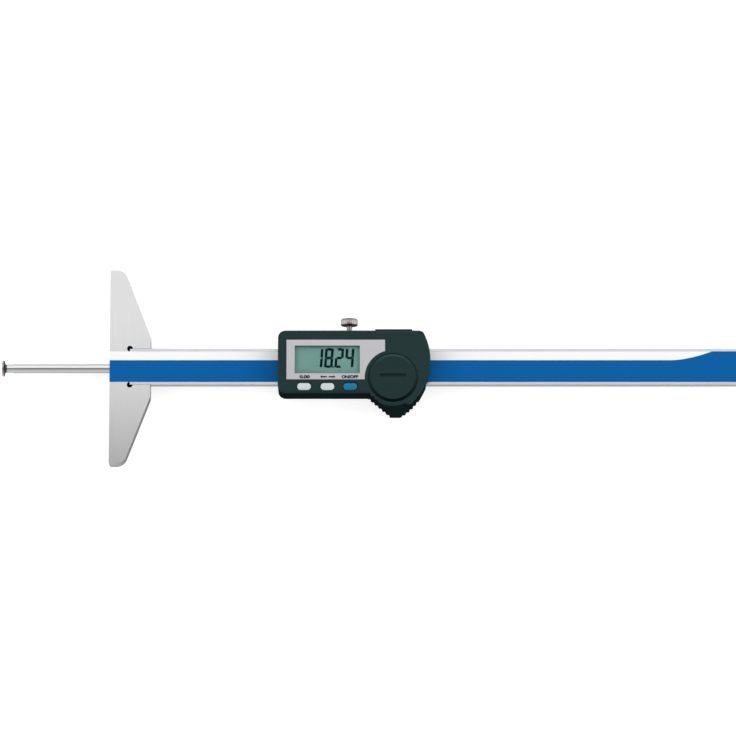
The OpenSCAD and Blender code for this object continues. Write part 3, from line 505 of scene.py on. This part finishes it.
def dress(name, mesh, body, finish, replaces=(), smooth=35.0):
    """Closes and shades a mesh in metres, gives it its finish and lets it ride on its body."""
    work = bmesh.new()
    work.from_mesh(mesh)
    bmesh.ops.remove_doubles(work, verts=work.verts, dist=MERGE * MM)
    bmesh.ops.dissolve_degenerate(work, edges=work.edges, dist=SLIVER * MM)
    bmesh.ops.recalc_face_normals(work, faces=work.faces)
    work.to_mesh(mesh)
    work.free()
    mesh.shade_smooth()
    mesh.set_sharp_from_angle(angle=math.radians(smooth))
    mesh.materials.clear()
    mesh.materials.append(FINISHES[finish])
    made = bpy.data.objects.new(name, mesh)
    bpy.context.scene.collection.objects.link(made)
    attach(made, body)
    if replaces:
        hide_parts(*replaces)
    return made


def grid_faces(rows, columns):
    """Quads between neighbouring rows of a grid of points, where each row closes on itself."""
    row, column = np.meshgrid(np.arange(rows - 1), np.arange(columns), indexing="ij")
    here = row * columns + column
    beside = row * columns + (column + 1) % columns
    return np.stack([here, beside, beside + columns, here + columns], axis=-1).reshape(-1, 4)


def plates(outlines, low, high):
    """Flat plates of one thickness: each outline's points at both levels, a face on each and a wall round."""
    points, faces, count = [], [], 0
    for outline in outlines:
        n = len(outline)
        ring = np.arange(n) + count
        after = np.roll(ring, -1)
        points += [np.column_stack([outline, np.full(n, level)]) for level in (low, high)]
        faces += [ring[::-1], ring + n, *np.column_stack([ring, after, after + n, ring + n])]
        count += 2 * n
    return np.vstack(points), faces


def finish_nodes():
    """Every CAD node gets the finish of its own material slot, or the one made for it alone."""
    for row in frame["record"]["subparts"]:
        mesh = frame["nodes"][row["node"]].data
        mesh.materials.clear()
        mesh.materials.append(FINISHES[OWN_FINISH.get(row["node"], row["material_slot"])])


# Display and panel marks

def digit_segments(digit, right):
    """Outlines of a digit's lit segments, in a box that ends at right. The upright bars' ends fall off by a
    share of the stroke, the bars along the box's top and bottom fit round them, the outer corners are cut,
    and the middle bar is pointed."""
    left, low, high = right - DIGIT_WIDTH, DIGIT_LOW, DIGIT_LOW + DIGIT_HEIGHT
    stroke, half, gap, fall = DIGIT_STROKE, DIGIT_STROKE / 2, SEGMENT_GAP, DIGIT_STROKE * END_FALL
    middle = (low + high) / 2
    inner_left, inner_right = left + stroke, right - stroke
    tall = np.array([(right, high - CORNER_CUT), (inner_right, high - fall - gap),
                     (inner_right, middle + half), (right - half, middle + MIDDLE_GAP),
                     (right, middle + MIDDLE_GAP)])
    flat = np.array([(left + CORNER_CUT, high), (inner_left, high - fall), (inner_left + gap, high - stroke),
                     (inner_right - gap, high - stroke), (inner_right, high - fall),
                     (right - CORNER_CUT, high)])
    across = np.array([(left + half, middle), (inner_left, middle - half), (inner_right, middle - half),
                       (right - half, middle), (inner_right, middle + half), (inner_left, middle + half)])
    flip_x = lambda outline: (outline * (-1, 1) + (left + right, 0))[::-1]
    flip_y = lambda outline: (outline * (1, -1) + (0, low + high))[::-1]
    shapes = {"a": flat, "b": tall, "c": flip_y(tall), "d": flip_y(flat), "e": flip_x(flip_y(tall)),
              "f": flip_x(tall), "g": across}
    return [lean(shapes[letter]) for letter in SEGMENTS[digit]]


def lean(outline):
    """Shears an outline of the reading: a point goes right by the slant times its height."""
    return outline + np.column_stack([(outline[:, 1] - DIGIT_LOW) * DIGIT_SLANT, np.zeros(len(outline))])


def build_reading():
    """Dark seven-segment reading on the display glass, laid out from its right end."""
    outlines = []
    right = SLIDER_X + DIGIT_RIGHT - DIGIT_HEIGHT * DIGIT_SLANT
    for character in reversed(READING):
        if character == ".":
            corner = np.array([right + POINT_SHIFT / 2, DIGIT_LOW])
            square = np.array([(0, 0), (1, 0), (1, 1), (0, 1)]) - (0.5, 0)
            outlines.append(lean(corner + square * POINT_SIZE))
            continue
        outlines += digit_segments(character, right)
        right -= DIGIT_PITCH
    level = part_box("display_glass")[1].z / MM
    points, faces = plates(outlines, level, level + INK_HEIGHT)
    piece("reading", points, faces, "slider", "display_ink")


def lettering(name, words, x, width):
    """Printed words on the front panel, as thin plates of ink of the given width. The thickness that the
    letters are made with is scaled to the ink's."""
    curve = bpy.data.curves.new(name, "FONT")
    curve.body = words
    curve.extrude = 0.5
    curve.offset = LETTER_BOLD
    text = bpy.data.objects.new(name + "_text", curve)
    bpy.context.scene.collection.objects.link(text)
    bpy.context.view_layer.update()
    mesh = bpy.data.meshes.new_from_object(text.evaluated_get(bpy.context.evaluated_depsgraph_get()))
    bpy.data.objects.remove(text)
    points = np.empty(len(mesh.vertices) * 3)
    mesh.vertices.foreach_get("co", points)
    points = points.reshape(-1, 3)
    low, size = points.min(0), np.ptp(points, 0)
    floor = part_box("front_panel")[1].z / MM
    corner = np.array([SLIDER_X + x - width / 2, LEGEND_Y - LEGEND_HEIGHT / 2, floor])
    points = corner + (points - low) / size * (width, LEGEND_HEIGHT, INK_HEIGHT)
    mesh.vertices.foreach_set("co", (points * MM).ravel())
    dress(name, mesh, "slider", "legend_ink")


def build_legends():
    """Ink over the buttons: a zero reading, two arrows that point apart, and ON/OFF."""
    lettering("legend_zero", "0.00", ZERO_X, ZERO_WIDTH)
    lettering("legend_power", "ON/OFF", POWER_X, POWER_WIDTH)
    half = LEGEND_HEIGHT / 2
    bar = half / 2.4
    arrow = np.array([(0, bar), (0, -bar), (ARROW_LENGTH - half, -bar), (ARROW_LENGTH - half, -half),
                      (ARROW_LENGTH, 0), (ARROW_LENGTH - half, half), (ARROW_LENGTH - half, bar)])
    start = np.array([SLIDER_X + ARROWS_X, LEGEND_Y])
    right = start + arrow + (ARROW_GAP / 2, 0)
    left = start + arrow[::-1] * (-1, 1) - (ARROW_GAP / 2, 0)
    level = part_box("front_panel")[1].z / MM
    points, faces = plates([left, right], level, level + INK_HEIGHT)
    piece("legend_arrows", points, faces, "slider", "legend_ink")


# Moving pieces

def build_key(node, finish):
    """Rubber key with a stadium outline: straight wall, quarter-round edge and a low crown. Row by row the
    outline draws in by d from the wall, where it stands at height z, until it shrinks to its middle line."""
    low, high = (np.array(corner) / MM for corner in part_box(node))
    middle = (low + high) / 2
    width = KEY_SIZE[1]
    radius, half = width / 2, (KEY_SIZE[0] - width) / 2
    turn = np.linspace(0, np.pi / 2, KEY_STEPS)
    shrink = np.linspace(0, 1, KEY_STEPS + 1)[1:]
    top = high[2] - KEY_CROWN
    inward = np.concatenate([[radius, 0], KEY_EDGE * (1 - np.cos(turn)),
                             KEY_EDGE + shrink * (radius - KEY_EDGE)])
    height = np.concatenate([[high[2] - KEY_DEPTH] * 2, top - KEY_EDGE * (1 - np.sin(turn)),
                             top + KEY_CROWN * (1 - (1 - shrink) ** 2)])
    angle = (np.arange(KEY_ROUND) + 0.5) / KEY_ROUND * 2 * np.pi
    reach = (radius - inward)[:, None]
    x = middle[0] + np.sign(np.cos(angle)) * half + reach * np.cos(angle)
    y = KEY_Y + reach * np.sin(angle)
    points = np.stack([x, y, np.broadcast_to(height[:, None], x.shape)], axis=-1).reshape(-1, 3)
    piece("key_" + node, points, grid_faces(len(inward), len(angle)), node, finish, (node,))


def build_lock_screw():
    """Knurled screw turned about Y: a stem, a chamfer, a fluted band, a fine groove, a chamfer and a dished
    top. The band's radius falls by the flute depth times half of one minus the cosine of the flutes' count
    times the angle."""
    low, high = (np.array(corner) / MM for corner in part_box("lock_screw"))
    axis_x, axis_z = (low[0] + high[0]) / 2, (low[2] + high[2]) / 2
    radius = (high[0] - low[0]) / 2
    head, top = high[1] - KNOB_HEIGHT, high[1]
    rim, low_rim = radius - KNOB_CHAMFER / 2, radius - LOWER_CHAMFER / 2
    shoulder = top - KNOB_CHAMFER
    rows = np.array([(low[1], 0, 0), (low[1], STEM_RADIUS, 0), (head, STEM_RADIUS, 0), (head, low_rim, 0),
                     (head + LOWER_CHAMFER, radius, 1), (shoulder - GROOVE_WIDTH, radius, 1),
                     (shoulder - GROOVE_WIDTH / 2, radius - GROOVE_DEPTH, 0), (shoulder, radius, 0),
                     (top - KNOB_CHAMFER / 2, radius - KNOB_CROWN, 0), (top, rim, 0),
                     (top - DISH_DEPTH, rim - DISH_RING, 0), (top - DISH_DEPTH, 0, 0)])
    count = KNOB_FLUTES * FLUTE_STEPS
    angle = np.arange(count) / count * 2 * np.pi
    wave = (1 - np.cos(angle * KNOB_FLUTES)) / 2
    reach = rows[:, 1:2] - rows[:, 2:3] * FLUTE_DEPTH * wave
    points = np.stack([axis_x + reach * np.cos(angle), np.broadcast_to(rows[:, :1], reach.shape),
                       axis_z + reach * np.sin(angle)], axis=-1).reshape(-1, 3)
    piece("knurled_screw", points, grid_faces(len(rows), len(angle)), "lock_screw", "nickel",
          ("lock_screw",), smooth=50.0)


def build_disc():
    """Measuring disc as a turned ring round the rod's axis, which is parallel to X. Each point of its profile
    runs once round the axis at its own radius, and the last profile point joins the first in the bore."""
    low, high = (np.array(corner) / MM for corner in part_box("measuring_disc"))
    middle = (low + high) / 2
    profile = np.array(DISC_PROFILE + DISC_PROFILE[:1])
    angle = np.arange(DISC_ROUND) / DISC_ROUND * 2 * np.pi
    reach = profile[:, 1:2]
    points = np.stack([np.broadcast_to(low[0] + profile[:, :1], (len(profile), len(angle))),
                       middle[1] + reach * np.cos(angle), middle[2] + reach * np.sin(angle)], axis=-1)
    piece("turned_disc", points.reshape(-1, 3), grid_faces(len(profile), len(angle)), "slider", "disc_steel",
          ("measuring_disc",), smooth=30.0)


bpy.context.scene.view_settings.view_transform = "Standard"
build_camera()
build_world()
build_softbox()
build_floor()
finish_nodes()
build_reading()
build_legends()
for key, coat in (("button_set", "button_white"), ("button_unit", "button_white"),
                  ("button_power", "button_blue")):
    build_key(key, coat)
build_lock_screw()
build_disc()

bpy.context.view_layer.update()
